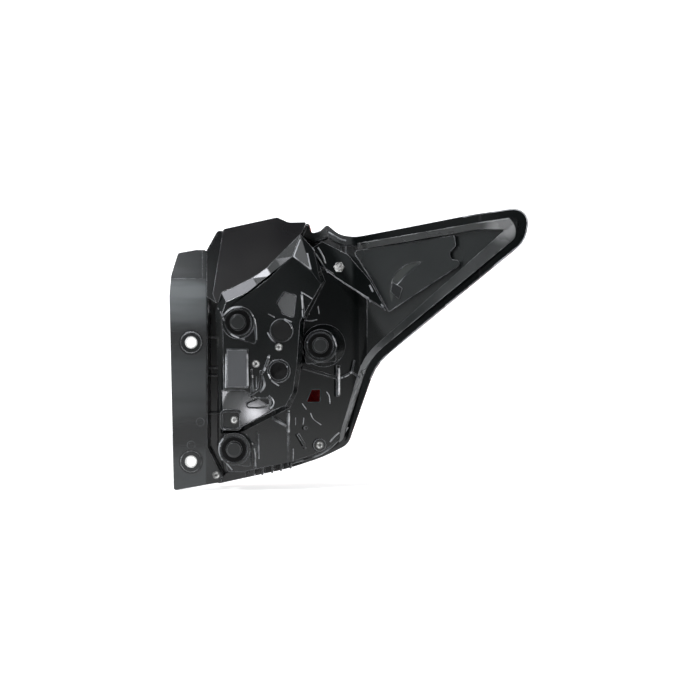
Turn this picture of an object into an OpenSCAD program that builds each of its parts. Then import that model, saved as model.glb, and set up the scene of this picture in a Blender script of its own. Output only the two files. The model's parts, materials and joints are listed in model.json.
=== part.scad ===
// Car tail light cluster, right-hand wing type, seen from its housing side.
// X runs from the flange to the wing tip, Z is up, Y runs from the car body to
// the lens. The origin is midway between the two flange holes, on the face
// that bolts to the car. Millimetres.

/* [Lens] */
// Plan radius of the outer lens surface
lens_r = 600; // [560:5:700]
// How far the lens stands in front of the bolting face, at its highest
lens_y = 77; // [72:1:82]
// Where along X the lens stands highest
lens_x = 60; // [50:1:70]
// Thickness of the lens sheet
lens_t = 3; // [2.4:0.1:3.4]
// Thickness of the leg that stands in the glue channel
leg_t = 2.4; // [1.8:0.1:2.8]
// Height of the clear stripe
clear_h = 34; // [24:1:44]
// Lower edge of the clear stripe
clear_z = 34; // [28:1:44]
// How much the clear stripe climbs over its length
clear_rise = 20; // [0:1:40]

/* [Housing] */
// Distance from the flange holes to the tip of the wing, before its corner is rounded
wing_x = 388; // [382:1:394]
// Wall of the housing
wall = 3; // [2.4:0.1:3.4]
// Width of the glue channel, lips included
band_w = 11; // [10:0.1:13]
// Height of the sealant in the groove
bead_h = 7; // [5:0.5:9]
// Sealant under the lens leg
bead_floor = 1.5; // [1:0.1:2]
// Clear width of the groove in the channel
groove_w = 5; // [4:0.1:5.5]
// Distance from the outer lens surface to the back of the channel
band_d = 24; // [22:0.5:27]
// Distance from the outer lens surface to the inside of the floor
floor_d = 12; // [11:0.5:14]
// Back face of the raised bulb box
box_y = -28; // [-34:1:-24]
// Back face of the plain corner panel
panel_y = -15; // [-19:1:-10]
// Back face of the lower floor
slope_y = -8; // [-12:1:-4]
// Slope of that floor towards the lens, right of its crease
slope_a = 30.5; // [28:0.5:32]
// Height of the ribs and bars on the back
bar_h = 3; // [1.5:0.5:4]
// Height of the wing's raised floor above the wing's own floor
deck_h = 6; // [4:0.5:8]
// Back face of the facet that carries the stud
facet_y = 22; // [16:1:26]

/* [Flange] */
// Thickness of the flange
flange_t = 3; // [2.5:0.1:4]
// Distance between the two flange holes
hole_pitch = 137; // [130:1:144]
// Diameter of the hole in each sleeve
hole_d = 10.5; // [8.5:0.1:11.5]
// Wall of a sleeve
sleeve_t = 1.6; // [1:0.1:2.4]
// Length of a sleeve
sleeve_l = 9; // [7:0.5:12]
// Diameter of the moulded collar round a sleeve
collar_d = 24; // [20:0.5:27]

// How far the collars and sleeves stand proud of the flange
collar_h = 1.5; // [1:0.1:2.5]
// Depth of the step across the upper end of the flange
step_h = 0.8; // [0.4:0.1:1.2]
// Thickness of the ribs between flange and bulb box
rib_t = 2; // [1.4:0.1:3]

/* [Bulb holders] */
// Bore for a bulb holder
bore_d = 22; // [20:0.5:24]
// Diameter of the holder's flange
holder_d = 29; // [27:0.5:30]
// Thickness of the holder's flange
holder_t = 3; // [2:0.1:4]
// Diameter of the holder's grip
grip_d = 18; // [15:0.5:20]
// Height of the holder's grip
grip_h = 7; // [5:0.5:9]
// Height of the turn lamp's tower
tower_h = 62; // [58:1:64]
// Diameter of that tower at its foot
tower_d = 66; // [60:1:70]
// Diameter of the boss round a holder
boss_d = 37; // [35:0.5:39]
// Thickness of the seal under the holder
seal_t = 1.5; // [1:0.1:2]
// Diameter of a bulb
bulb_d = 18; // [15:0.5:18.4]
// Length of a bulb past the holder
bulb_l = 34; // [28:1:38]

// Diameter of a bulb's base
base_d = 13; // [11:0.5:14]
// How deep a bulb's base sits in its holder
base_l = 8; // [6:0.5:9]
// How deep a holder's flange sits in its boss
seat_depth = 4; // [3:0.1:4.4]
// Length of a holder's neck
neck_l = 11; // [10:0.5:13]
// Depth of the bore from the back of the boss
bore_l = 14; // [13:0.5:16]

/* [Reflector and boards] */
// Thickness of the plated sheet
plate_t = 1.8; // [1.4:0.1:2.2]
// Narrow diameter of a bowl
bowl_d = 23; // [22.5:0.1:24]
// Wide diameter of a bowl
mouth_d = 40; // [34:1:44]
// Diameter of a screw pillar
pillar_d = 9; // [8:0.5:11]
// Thickness of the red reflector block
reflex_t = 4; // [3:0.1:5]
// Thickness of the light guide
guide_t = 4.5; // [3:0.1:5]
// Thickness of a circuit board
board_t = 1.6; // [1:0.1:2]
// Height of the lid's plate and of its plug
cover_t = 2; // [1.4:0.1:2.4]

/* [Ventilation] */
// Diameter of the breather cap
cap_d = 23; // [20:0.5:25]
// Height of the breather cap
cap_h = 5; // [4:0.5:7]
// Diameter of the cap's plug
plug_d = 12; // [10:0.5:14]
// Diameter of the open port
port_d = 20; // [18:0.5:22]
// Thickness of the filter in the port
filter_t = 4; // [3:0.5:6]

/* [Fasteners] */
// Diameter of a screw head
head_d = 9; // [8:0.2:10]
// Height of a screw head
head_h = 2.6; // [2:0.1:3.4]
// Diameter of a screw shank
shank_d = 4; // [3:0.1:4.4]
// Length of a screw below its head
shank_l = 14; // [12:0.5:16]
// Diameter of the stud
stud_d = 6; // [5:0.5:7]
// Length of the stud past its collar
stud_l = 15; // [12:0.5:20]
// Size of the stud's collar across its flats
stud_af = 11; // [10:0.5:13]
// Thickness of the stud's collar
collar_t = 4; // [3:0.5:5]
// Thickness of the wing's spring clip
clip_t = 1.2; // [0.8:0.1:1.6]

/* [Fits] */
// Running gap round a piece that is put in by hand
gap = 0.3; // [0.2:0.05:0.4]

/* [Hidden] */
$fn = 64;

// Farther than any piece reaches along Y
reach = 140;
// How far a cut or a joint runs past the face that it meets
cut = 1;
// Deeper than the housing's own floor
inside_y = reach / 2;
// Chamfer on grips and caps
edge_c = 1.5;
// Floor back and deck back, as distances from the outer lens surface
floor_back = floor_d + wall;
deck_back = floor_back + deck_h;
// Lip left outside the groove, and the overhang of the lens past it
overhang = 0.5;
lip = (band_w - groove_w - wall) / 1.2;
groove_in = overhang + lip;
leg_in = groove_in + (groove_w - leg_t) / 2;

// Outline of the lamp: x, z and corner radius, counterclockwise from bottom left
lamp_keys = [
    [27, -98, 3], [110, -80, 200], [152, -66, 150], [181, -51, 18], [214, 43.4, 70],
    [wing_x - 7, 182, 30], [wing_x, 223, 17], [320, 215, 300], [188, 192, 40], [170, 195.5, 20],
    [156, 207.5, 4], [148, 200, 6], [138, 197, 3], [135, 208.5, 2], [113, 208, 10],
    [100, 214.5, 5], [31, 199.5, 5], [17.5, 176, 6], [16.5, -54, 6]];
// Outline of the flange
flange_keys = [
    [-20, -102, 3], [36, -92, 2], [16.5, -50, 4], [16.5, 175, 1], [5, 175, 8],
    [-15, 171.5, 3], [-23, 146, 20], [-25, 122, 30]];
// Upper part of the flange, which lies a step deeper
step_keys = [[-30, 142], [13, 142], [13, 180], [-30, 180]];
// Corner panel
panel_keys = [
    [26, 124, 1], [30, 113, 2], [86, 150, 20], [128, 194, 1], [133, 206, 1.5],
    [113, 205.5, 10], [99.5, 211.5, 4], [38, 198, 3]];
// Bulb box at its back face and at its foot, point for point
box_back = [
    [39.5, -31], [59, -28], [98, -8], [110, -3], [118, 12], [122.5, 43], [126, 92],
    [150, 134], [139.5, 148.5], [117, 166], [104, 154.5], [94, 144], [78, 131.5],
    [58, 121.5], [42, 114.5], [38, 103]];
box_foot = [
    [35, -36], [61, -33], [100, -13], [114, -6], [122, 11], [127, 43], [130, 91],
    [154, 139], [141, 176], [126, 192], [98, 164], [88, 153.5], [71, 142],
    [51, 132], [36, 125], [29, 104]];
// Floor that slopes towards the lens, right of the box and below it
slope_keys = [
    [42, -80, 4], [60, -80, 6], [122, -67, 60], [158, -54.5, 30], [172, -40, 14],
    [207, 50, 30], [227, 106.5, 1], [184.5, 135, 2], [155, 154, 2], [140, 160, 2],
    [100, 100, 2], [60, 0, 2], [38, -33, 4]];
// Lower strip left of the corner panel, and how much deeper it lies
strip_keys = [[18.5, 121, 1], [30, 113, 1], [42, 196, 1], [31, 196.5, 4], [18.5, 174, 4]];
strip_drop = 6;
// Facet with the stud
facet_keys = [
    [139, 178, 3], [154, 152, 3], [183, 133, 8], [226, 105, 2], [206, 141, 12],
    [180, 171, 3], [150, 186, 3]];
// Raised floor of the wing
deck_keys = [
    [228, 104, 2], [316, 162, 4], [300, 164, 3], [297, 172, 5], [305, 180, 5],
    [303, 192, 2], [186, 176, 4], [208, 142, 12]];

// Shallow crescent sunk into the raised floor, and its depth
dent_keys = [
    [231, 137, 1], [236, 150, 3], [248, 159, 6], [267, 163, 1], [256, 153, 6], [246, 145, 4], [238, 136, 1]];
dent_h = 1.2;
// Raised rim of the drain slot on the bulb box
slot_keys = [[63, 0, 3], [76, 5.5, 6], [93, 6.5, 4], [93, -4, 4], [80, -6.5, 5], [66, -6, 3]];
rim_h = 1.2;
rim_w = 1.5;
// Where the lower floor's slope begins
slope_x = 114;
// Sloping facets sunk into the bulb box: outline, start of the slope, turn and slope
facets = [
    [[[98, -8, 1], [59, -28, 1], [34, -37, 1], [30, 14, 1], [62, 14, 3]], [97.5, -6.5], -29, 8],
    [[[99, 113, 2], [108, 126, 2], [122, 122, 2], [119, 96, 2], [106, 101, 2]], [119, 96], -60, 9]];
// Bars on the lower floor: start, end and width
floor_bar_list = [
    [169, 40, 169, 8, 4], [171, 27, 185, 34, 1.6], [185, 34, 194, 28, 1.6], [185, 34, 188, 47, 1.6],
    [130, 39, 166, 28, 3], [95, -18, 110, -27, 4], [112, -14, 112, -32, 3.4], [112, -33, 112, -72, 1.4],
    [76, -35, 76, -57, 1.4], [124, -38, 132, -52, 2.6], [60, -40, 74, -50, 2.2], [74, -50, 74, -75, 2.2],
    [131, 96, 146, 95, 2], [146, 95, 147, 112, 2]];
dimple_at = [132, -30];
dimple_d = 4;
// Bars on the bulb box: start, end, width and the face that they stand on
box_bar_list = [
    [91, 53, 85, 37, 1.8, box_y + 1], [71, 37, 71, 12, 2, box_y + 1], [82, 35, 80, 17, 3, box_y + 1],
    [80, 16, 70, 9, 3, box_y + 1], [128, 122, 131, 97, 2, box_y + 6]];
// Gussets between the lower wall and the glue channel
gusset_x = [62, 72, 82, 93, 103, 114];
gusset_z = -70;
gusset_l = 14;
gusset_y = slope_y + 12;
// Centres of round features on the back, x and z
stop_at = [56, 91];
turn_at = [149, 65];
reverse_at = [51, -53];
cap_at = [105, 82];
port_at = [102, 36];
stud_at = [170, 156];
// Back faces of the bosses that carry the holders
stop_y = -34;
turn_y = -12;
reverse_y = -26;
// Cover of the lamp driver: x, z, width, height and height of its box
cover_x = 46;
cover_z = 20;
cover_w = 18;
cover_h = 38;
cover_rise = 9;
// Window of the red reflector block, and the block itself
window_keys = [[133, 0, 1], [148, 0, 1], [148, 14, 1], [139, 14, 1]];
reflex_keys = [[126, -12, 3], [168, -12, 3], [176, 24, 3], [126, 24, 3]];
// Light guide in the wing and the board at its inner end
guide_keys = [[226, 98, 1], [230, 93, 1], [366, 196, 3], [362, 203, 3]];
board_keys = [[208, 88, 1], [228, 88, 1], [228, 104, 1], [208, 104, 1]];
// Spring clip on the wing
clip_keys = [[230, 128, 1], [240, 118, 1], [244, 132, 1], [232, 139, 1]];
// Inner side of the wall beside the channel, its ends and the back edge of its ribs
wall_x = 19;
wall_top = 174;
corner_z = -52;
wall_foot = [33.5, -88];
rib_y = 26;
rib_z = [75, 39, 30, -14];
// Square pocket with a screw
pocket_keys = [[38, -29, 3], [57, -29, 3], [57, -11, 3], [38, -11, 3]];
pocket_y = -20;
pocket_h = 6;
// Screw places: x, z and the face that the head sits on
screw_seats = [
    [102, 63, box_y], [76, 44, box_y], [51, -20, pocket_y], [148, -50, 7], [29, -84, collar_h]];
// How far a bowl reaches back past the neck's end, and where its cone would end
bowl_tail = 3;
// How far the plated sheet and its window keep clear of what is round them
plate_in = 2;
window_in = 2;
mouth_y = 100;
// Length of the pad under the lower right screw
pad_l = 15;
pad_d = head_d + 5;
pad_end = screw_seats[3][2] + pad_l;
// Faces of the open port
port_y = -31;
port_lip = 2;
filter_y = -18;
// Face of the low seat under the breather cap
cap_y = box_y - 1;

function unit(v) = v / norm(v);

// Points of an arc that rounds the corner b between a and c to radius r
function corner(a, b, c, r) =
    let (u = unit(a - b), v = unit(c - b),
         half = acos(u * v) / 2,
         o = b + unit(u + v) * (r / sin(half)),
         p = b + u * (r / tan(half)) - o,
         q = b + v * (r / tan(half)) - o,
         a0 = atan2(p[1], p[0]),
         d = ((atan2(q[1], q[0]) - a0) % 360 + 540) % 360 - 180,
         n = max(2, ceil(abs(d) / 15)))
    [for (i = [0:n]) o + r * [cos(a0 + d * i / n), sin(a0 + d * i / n)]];

// Outline through key points, each [x, z, corner radius]
function rounded(keys) =
    let (n = len(keys))
    [for (i = [0:n - 1])
        let (a = keys[(i + n - 1) % n], b = keys[i], c = keys[(i + 1) % n])
        each corner([a[0], a[1]], [b[0], b[1]], [c[0], c[1]], b[2])];

// Outline moved inwards by d, with as many points as before
function shrunk(points, d) =
    let (n = len(points))
    [for (i = [0:n - 1])
        let (u = unit(points[i] - points[(i + n - 1) % n]),
             v = unit(points[(i + 1) % n] - points[i]),
             side = [-u[1] - v[1], u[0] + v[0]])
        points[i] + side * d / (1 + u * v)];

lamp = rounded(lamp_keys);

// Prism of an outline in X and Z, from y0 to y1
module prism(points, y0, y1, inset = 0)
    translate([0, y1, 0]) rotate([90, 0, 0]) linear_extrude(y1 - y0)
        offset(delta = -inset) polygon(points);

// Everything on the inner side of the surface that lies d behind the lens
module behind(d)
    translate([lens_x, lens_y - lens_r, -2 * reach])
        cylinder(r = lens_r - d, h = 5 * reach, $fn = 180);

// Part of an outline between two surfaces behind the lens
module skin(points, back, front, inset = 0)
    difference() {
        intersection() {
            prism(points, -reach, reach, inset);
            behind(front);
        }
        behind(back);
    }

// Solid between two outlines with as many points each
module loft(back, foot, y0, y1)
    let (n = len(back))
    polyhedron(
        points = concat([for (p = back) [p[0], y0, p[1]]], [for (p = foot) [p[0], y1, p[1]]]),
        faces = concat(
            [[for (i = [n - 1:-1:0]) i]],
            [[for (i = [0:n - 1]) n + i]],
            [for (i = [0:n - 1]) [i, n + (i + 1) % n, n + i]],
            [for (i = [0:n - 1]) [i, (i + 1) % n, n + (i + 1) % n]]));

// Cylinder along Y, centred at x and z, from y0 to y1
module rod(at, y0, y1, d)
    translate([at[0], y1, at[1]]) rotate([90, 0, 0]) cylinder(d = d, h = y1 - y0);

// Cone along Y with diameter d0 at y0 and d1 at y1
module cone(at, y0, y1, d0, d1)
    translate([at[0], y1, at[1]]) rotate([90, 0, 0]) cylinder(d1 = d1, d2 = d0, h = y1 - y0);

// One sunk facet, moved and grown by thin for the inside
module sunk(f, thin)
    intersection() {
        prism(rounded(f[0]), -reach, reach, -thin);
        translate([f[1][0], box_y + thin, f[1][1]]) rotate([0, f[2], 0]) rotate([-f[3], 0, 0])
            translate([-reach / 2, -reach, 0]) cube(reach);
    }

// Space in front of the lower floor: flat up to the crease, then falling to the
// lens; moved by shift towards the lens
module slope(shift)
    intersection() {
        translate([slope_x, slope_y + shift, -reach]) rotate([0, 0, slope_a])
            translate([-2 * reach, 0, 0]) cube([4 * reach, 2 * reach, 3 * reach]);
        translate([-reach, slope_y + shift, -reach]) cube([4 * reach, 2 * reach, 3 * reach]);
    }

// Bar from p to q, w wide, as an outline
function bar(p, q, w) =
    let (u = unit(q - p) * w / 2, v = [-u[1], u[0]])
    [p - u - v, q + u - v, q + u + v, p - u + v];

// Bars that stand on the lower floor
module floor_bars()
    intersection() {
        union() {
            for (b = floor_bar_list)
                prism(bar([b[0], b[1]], [b[2], b[3]], b[4]), -reach, reach);
            rod(dimple_at, -reach, reach, dimple_d);
        }
        slope(-bar_h);
        behind(floor_d + cut);
    }

// Bars that stand on the back of the bulb box
module box_bars()
    union() {
        for (b = box_bar_list)
            prism(bar([b[0], b[1]], [b[2], b[3]], b[4]), box_y - bar_h, b[5]);
        difference() {
            prism(rounded(slot_keys), box_y - rim_h, box_y + cut);
            prism(rounded(slot_keys), -reach, reach, rim_w);
        }
    }

// Short gussets between the lower wall and the glue channel
module gussets()
    intersection() {
        for (x = gusset_x)
            prism(bar([x, gusset_z - gusset_l], [x + cut, gusset_z], rib_t), gusset_y, reach);
        prism(lamp, -reach, reach, overhang + cut);
        behind(band_d - cut);
    }

// Teardrop round a bulb holder, drawn out to the tips
flare_r = boss_d / 2 - 1;
tip_r = 3;
flares = [
    [stop_at, [[73, 70]], stop_y + 2, box_y + cut],
    [turn_at, [[164, 49], [135, 47]], turn_y + 3, slope_y + 22],
    [reverse_at, [[67, -70]], reverse_y + 2, slope_y + cut]];
module teardrop(at, tip, y0, y1)
    translate([0, y1, 0]) rotate([90, 0, 0]) linear_extrude(y1 - y0)
        hull() {
            translate(at) circle(r = flare_r);
            for (t = tip)
                translate(t) circle(r = tip_r);
        }

// Groove round the lamp that takes the sealant and the lens leg
module groove()
    difference() {
        skin(lamp, band_d - wall, 0, groove_in);
        skin(lamp, band_d, -cut, groove_in + groove_w);
    }

// Channel round the lamp, from its back to the height of its outer lip
module channel()
    difference() {
        skin(lamp, band_d, floor_d, overhang);
        skin(lamp, band_d + cut, 0, band_w);
    }

// Outer lip that reaches almost to the lens
module lip_wall()
    difference() {
        skin(lamp, floor_d, lens_t + overhang, overhang);
        skin(lamp, floor_d + cut, 0, groove_in);
    }

// Thickness of the top of a tower, which also holds the seat of a bulb holder
function top(thin) = thin > 0 ? thin + seat_depth : 0;

// Outer forms of the raised boxes; thin is taken off all round for the inside
module masses(thin) {
    difference() {
        intersection() {
            union() {
                loft(shrunk(box_back, thin), shrunk(box_foot, thin), box_y + thin, panel_y + thin);
                prism(shrunk(box_foot, thin), panel_y + thin, reach);
            }
            behind(floor_d - thin);
        }
        for (f = facets)
            sunk(f, thin);
    }
    intersection() {
        prism(rounded(panel_keys), panel_y + thin, reach, thin);
        behind(floor_d - thin);
    }
    intersection() {
        prism(rounded(slope_keys), -reach, reach, thin);
        slope(thin);
        behind(floor_d - thin);
    }
    intersection() {
        prism(rounded(facet_keys), facet_y + thin, reach, thin);
        behind(floor_d - thin);
    }
    skin(rounded(deck_keys), deck_back - thin, floor_d - thin, thin);
    intersection() {
        cone(turn_at, turn_y + top(thin), turn_y + tower_h, boss_d - 2 * thin, tower_d - 2 * thin);
        behind(floor_d - thin);
    }
    intersection() {
        rod(reverse_at, reverse_y + top(thin), reach, boss_d - 2 * thin);
        behind(floor_d - thin);
    }
    rod(stop_at, stop_y + top(thin), panel_y + 2 * wall - thin, boss_d - 2 * thin);
    intersection() {
        prism(rounded(strip_keys), panel_y + strip_drop + thin, reach, thin);
        behind(floor_d - thin);
    }
}

// Places along Z of the two flange holes
hole_at = [[0, -hole_pitch / 2], [0, hole_pitch / 2]];
sleeve_d = hole_d + 2 * sleeve_t;

module flange()
    difference() {
        union() {
            prism(rounded(flange_keys), collar_h, collar_h + flange_t);
            for (at = hole_at)
                rod(at, 0, sleeve_l, collar_d);
        }
        prism(step_keys, -cut, collar_h + step_h);
        for (at = hole_at)
            rod(at, -cut, sleeve_l + cut, sleeve_d);
    }

// Wall that joins the flange to the glue channel, with the ribs behind it
module flange_wall()
    intersection() {
        union() {
            prism([[wall_x - wall, corner_z], [wall_foot[0], wall_foot[1]],
                   [wall_foot[0] + wall, wall_foot[1] + wall / 2], [wall_x, corner_z],
                   [wall_x, wall_top], [wall_x - wall, wall_top]],
                  collar_h, reach);
            for (z = rib_z)
                prism([[wall_x - 1, z - rib_t / 2], [box_foot[0][0] - 1, z - rib_t / 2],
                       [box_foot[0][0] - 1, z + rib_t / 2], [wall_x - 1, z + rib_t / 2]],
                      rib_y, reach);
        }
        behind(band_d - cut);
    }

// Box of the lamp driver, a rectangle grown by more on all sides
function cover_frame(more) = [
    [cover_x - more, cover_z - more], [cover_x + cover_w + more, cover_z - more],
    [cover_x + cover_w + more, cover_z + cover_h + more], [cover_x - more, cover_z + cover_h + more]];
// Edge of the driver's box
rim_y = box_y - cover_rise;

// Solid bosses on the back
module bosses() {
    prism(cover_frame(wall), rim_y, box_y + wall / 2);
    prism(rounded(pocket_keys), pocket_y - pocket_h, pocket_y + wall, -wall);
    rod(port_at, port_y, filter_y + wall, port_d + 2 * wall);
    rod(cap_at, cap_y, box_y + wall / 2, cap_d + 2 * edge_c);
    rod([screw_seats[3][0], screw_seats[3][1]], screw_seats[3][2], pad_end, pad_d);
    intersection() {
        rod([screw_seats[4][0], screw_seats[4][1]], collar_h, reach, head_d);
        behind(band_d - cut);
    }
}

module holder_bore(at, y) {
    rod(at, -reach, y + seat_depth, holder_d + 4 * gap);
    rod(at, -reach, y + bore_l, bore_d);
}

module housing()
    color([0.10, 0.10, 0.11])
    difference() {
        union() {
            difference() {
                union() {
                    masses(0);
                    skin(lamp, floor_back, floor_d, groove_in + groove_w);
                    floor_bars();
                    box_bars();
                    for (t = flares)
                        teardrop(t[0], t[1], t[2], t[3]);
                }
                masses(wall);
            }
            channel();
            lip_wall();
            flange();
            flange_wall();
            bosses();
            gussets();
        }
        groove();
        holder_bore(stop_at, stop_y);
        holder_bore(turn_at, turn_y);
        holder_bore(reverse_at, reverse_y);
        prism(rounded(pocket_keys), -reach, pocket_y);
        skin(rounded(dent_keys), deck_back + cut, deck_back - dent_h);
        rod(port_at, -reach, filter_y, port_d);
        rod(port_at, -reach, inside_y, port_d - 2 * port_lip);
        rod(cap_at, -reach, inside_y, plug_d + 2 * gap);
        rod(stud_at, -reach, inside_y, stud_d);
        for (i = [0:4])
            rod([screw_seats[i][0], screw_seats[i][1]], screw_seats[i][2] - cut,
                screw_seats[i][2] + shank_l + cut, shank_d + (i < 4 ? 2 * gap : 0));
        prism(cover_frame(0), -reach, box_y);
        prism(rounded(window_keys), -reach, inside_y);
    }

// Outline of the clear stripe, which crosses the whole lens
span_x = 400;
clear_keys = [[0, clear_z], [span_x, clear_z + clear_rise],
              [span_x, clear_z + clear_rise + clear_h], [0, clear_z + clear_h]];

// Leg of the lens that stands in the sealant
module leg()
    difference() {
        skin(lamp, band_d - wall - bead_floor, 0, leg_in);
        skin(lamp, band_d, -cut, leg_in + leg_t);
    }

module lens_red()
    color([0.55, 0.02, 0.03])
    difference() {
        union() {
            skin(lamp, lens_t, 0);
            leg();
        }
        skin(clear_keys, lens_t, -cut);
    }

module lens_clear()
    color([0.85, 0.87, 0.88])
    intersection() {
        skin(lamp, lens_t, 0);
        prism(clear_keys, -reach, reach);
    }

module sealant()
    color([0.05, 0.05, 0.05])
    difference() {
        skin(lamp, band_d - wall, band_d - wall - bead_h, groove_in);
        skin(lamp, band_d, 0, groove_in + groove_w);
        leg();
    }

// Back and front of the plated sheet, as distances from the outer lens surface
plate_back = floor_d - gap;
plate_front = plate_back - plate_t;
// Where a bulb holder's neck ends
function neck_end(y) = y + seat_depth + neck_l;

// Wide diameter of the bowl inside the straight tower
snug_d = boss_d - 2 * wall - 2 * plate_t - 4 * gap;

module bowl(at, y, mouth)
    intersection() {
        cone(at, neck_end(y) - bowl_tail, mouth_y, bowl_d + 2 * plate_t, mouth + 2 * plate_t);
        behind(plate_front);
    }

module bowl_hollow(at, y, mouth)
    cone(at, neck_end(y) - bowl_tail - cut, mouth_y, bowl_d, mouth);

module reflector()
    color([0.80, 0.81, 0.83])
    difference() {
        union() {
            skin(lamp, plate_back, plate_front, band_w + plate_in);
            bowl(stop_at, stop_y, mouth_d);
            bowl(turn_at, turn_y, mouth_d);
            bowl(reverse_at, reverse_y, snug_d);
            for (i = [0:3])
                intersection() {
                    rod([screw_seats[i][0], screw_seats[i][1]],
                            [box_y + wall, box_y + wall, pocket_y + wall, pad_end][i], reach, pillar_d);
                    behind(plate_front);
                }
        }
        bowl_hollow(stop_at, stop_y, mouth_d);
        bowl_hollow(turn_at, turn_y, mouth_d);
        bowl_hollow(reverse_at, reverse_y, snug_d);
        for (i = [0:3])
            rod([screw_seats[i][0], screw_seats[i][1]], -reach,
                screw_seats[i][2] + shank_l + 2 * cut, shank_d);
        prism(rounded(window_keys), -reach, reach, -window_in);
    }

module reflex_panel()
    color([0.62, 0.02, 0.03])
    skin(rounded(reflex_keys), plate_front, plate_front - reflex_t);

module light_guide()
    color([0.90, 0.91, 0.93])
    skin(rounded(guide_keys), plate_front, plate_front - guide_t);

// Light sources on the board: first corner, step to the next, side and height
led_at = [212, 92];
led_step = [5, 4];
led_a = 3;
led_h = 1;

// Corners of an oblong from its lowest corner
function oblong(at, size) =
    [at, at + [size[0], 0], at + size, at + [0, size[1]]];

module led_board()
    color([0.06, 0.22, 0.12])
    union() {
        skin(rounded(board_keys), plate_front, plate_front - board_t);
        for (i = [0:2])
            skin(oblong(led_at + i * led_step, [led_a, led_a]), plate_front - board_t,
                 plate_front - board_t - led_h);
    }

chip_in = 4;
chip_size = [8, 7];
chip_step = 11;
chip_h = 2;

module driver_board()
    color([0.06, 0.22, 0.12])
    union() {
        prism(cover_frame(-gap), box_y - board_t, box_y);
        for (i = [0:2])
            prism(oblong([cover_x + chip_in, cover_z + chip_in + i * chip_step], chip_size),
                  box_y - board_t - chip_h, box_y - board_t);
    }

// How far the cover laps over the rim of its box
cover_lip = wall - 1;

module driver_cover()
    color([0.22, 0.22, 0.23])
    union() {
        prism(cover_frame(cover_lip), rim_y - cover_t, rim_y);
        prism(cover_frame(-gap), rim_y, rim_y + cover_t);
    }

// Length of the bulb's flare from base to full width
flare_l = 4;

module bulb(at, y)
    color([0.92, 0.92, 0.90])
    union() {
        rod(at, neck_end(y) - base_l, neck_end(y) + flare_l / 2, base_d);
        cone(at, neck_end(y), neck_end(y) + flare_l, base_d, bulb_d);
        rod(at, neck_end(y) + flare_l, neck_end(y) + bulb_l - bulb_d / 2, bulb_d);
        translate([at[0], neck_end(y) + bulb_l - bulb_d / 2, at[1]]) sphere(d = bulb_d);
    }

module holder(at, y)
    color([0.16, 0.16, 0.17])
    let (under = y + seat_depth - seal_t, over = under - holder_t)
    difference() {
        union() {
            rod(at, over, under, holder_d);
            cone(at, over - grip_h, over - grip_h + edge_c, grip_d - 2 * edge_c, grip_d);
            rod(at, over - grip_h + edge_c, over, grip_d);
            rod(at, under, neck_end(y), bore_d - 2 * gap);
        }
        rod(at, neck_end(y) - base_l, neck_end(y) + cut, base_d);
    }

// How much narrower than the holder's flange a seal is
seal_in = 1;

module seal(at, y)
    color([0.03, 0.03, 0.03])
    difference() {
        rod(at, y + seat_depth - seal_t, y + seat_depth, holder_d - seal_in);
        rod(at, y + seat_depth - seal_t - cut, y + seat_depth + cut, bore_d - 2 * gap);
    }

// How far the cap's plug reaches past the wall
plug_in = 4;

module breather_cap()
    color([0.08, 0.08, 0.08])
    union() {
        cone(cap_at, cap_y - cap_h, cap_y - cap_h + edge_c, cap_d - 2 * edge_c, cap_d);
        rod(cap_at, cap_y - cap_h + edge_c, cap_y, cap_d);
        rod(cap_at, cap_y, box_y + wall + plug_in, plug_d);
    }

module breather_filter()
    color([0.02, 0.02, 0.02])
    rod(port_at, filter_y - filter_t, filter_y, port_d);

module mount_bushes()
    color([0.72, 0.73, 0.75])
    for (at = hole_at)
        difference() {
            rod(at, 0, sleeve_l, sleeve_d);
            rod(at, -cut, sleeve_l + cut, hole_d);
        }

module stud()
    color([0.80, 0.80, 0.78])
    union() {
        translate([stud_at[0], facet_y, stud_at[1]]) rotate([90, 0, 0])
            cylinder(d = stud_af / cos(30), h = collar_t, $fn = 6);
        rod(stud_at, facet_y - collar_t - stud_l, facet_y - collar_t, stud_d);
        rod(stud_at, facet_y, facet_y + wall + cut, stud_d);
    }

// Recess for the driver in a screw head: depth left below it and width
drive_h = 1.4;
drive_d = head_d / 2.4;

module screws()
    color([0.70, 0.70, 0.68])
    for (s = screw_seats)
        difference() {
            union() {
                rod([s[0], s[1]], s[2] - head_h, s[2], head_d);
                rod([s[0], s[1]], s[2], s[2] + shank_l, shank_d);
            }
            translate([s[0], s[2] - head_h + drive_h, s[1]]) rotate([90, 0, 0])
                cylinder(d = drive_d, h = head_h, $fn = 6);
        }

module wing_clip()
    color([0.62, 0.62, 0.60])
    skin(rounded(clip_keys), deck_back + clip_t, deck_back);

housing();
lens_red();
lens_clear();
sealant();
reflector();
reflex_panel();
light_guide();
led_board();
driver_board();
driver_cover();
bulb(stop_at, stop_y);  // bulb_stop
bulb(turn_at, turn_y);  // bulb_turn
bulb(reverse_at, reverse_y);  // bulb_reverse
holder(stop_at, stop_y);  // holder_stop
holder(turn_at, turn_y);  // holder_turn
holder(reverse_at, reverse_y);  // holder_reverse
seal(stop_at, stop_y);  // seal_stop
seal(turn_at, turn_y);  // seal_turn
seal(reverse_at, reverse_y);  // seal_reverse
breather_cap();
breather_filter();
mount_bushes();
stud();
screws();
wing_clip();
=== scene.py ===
"""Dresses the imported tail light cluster: materials, fine ribs and ledge, camera and studio light."""

import json
import math

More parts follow.
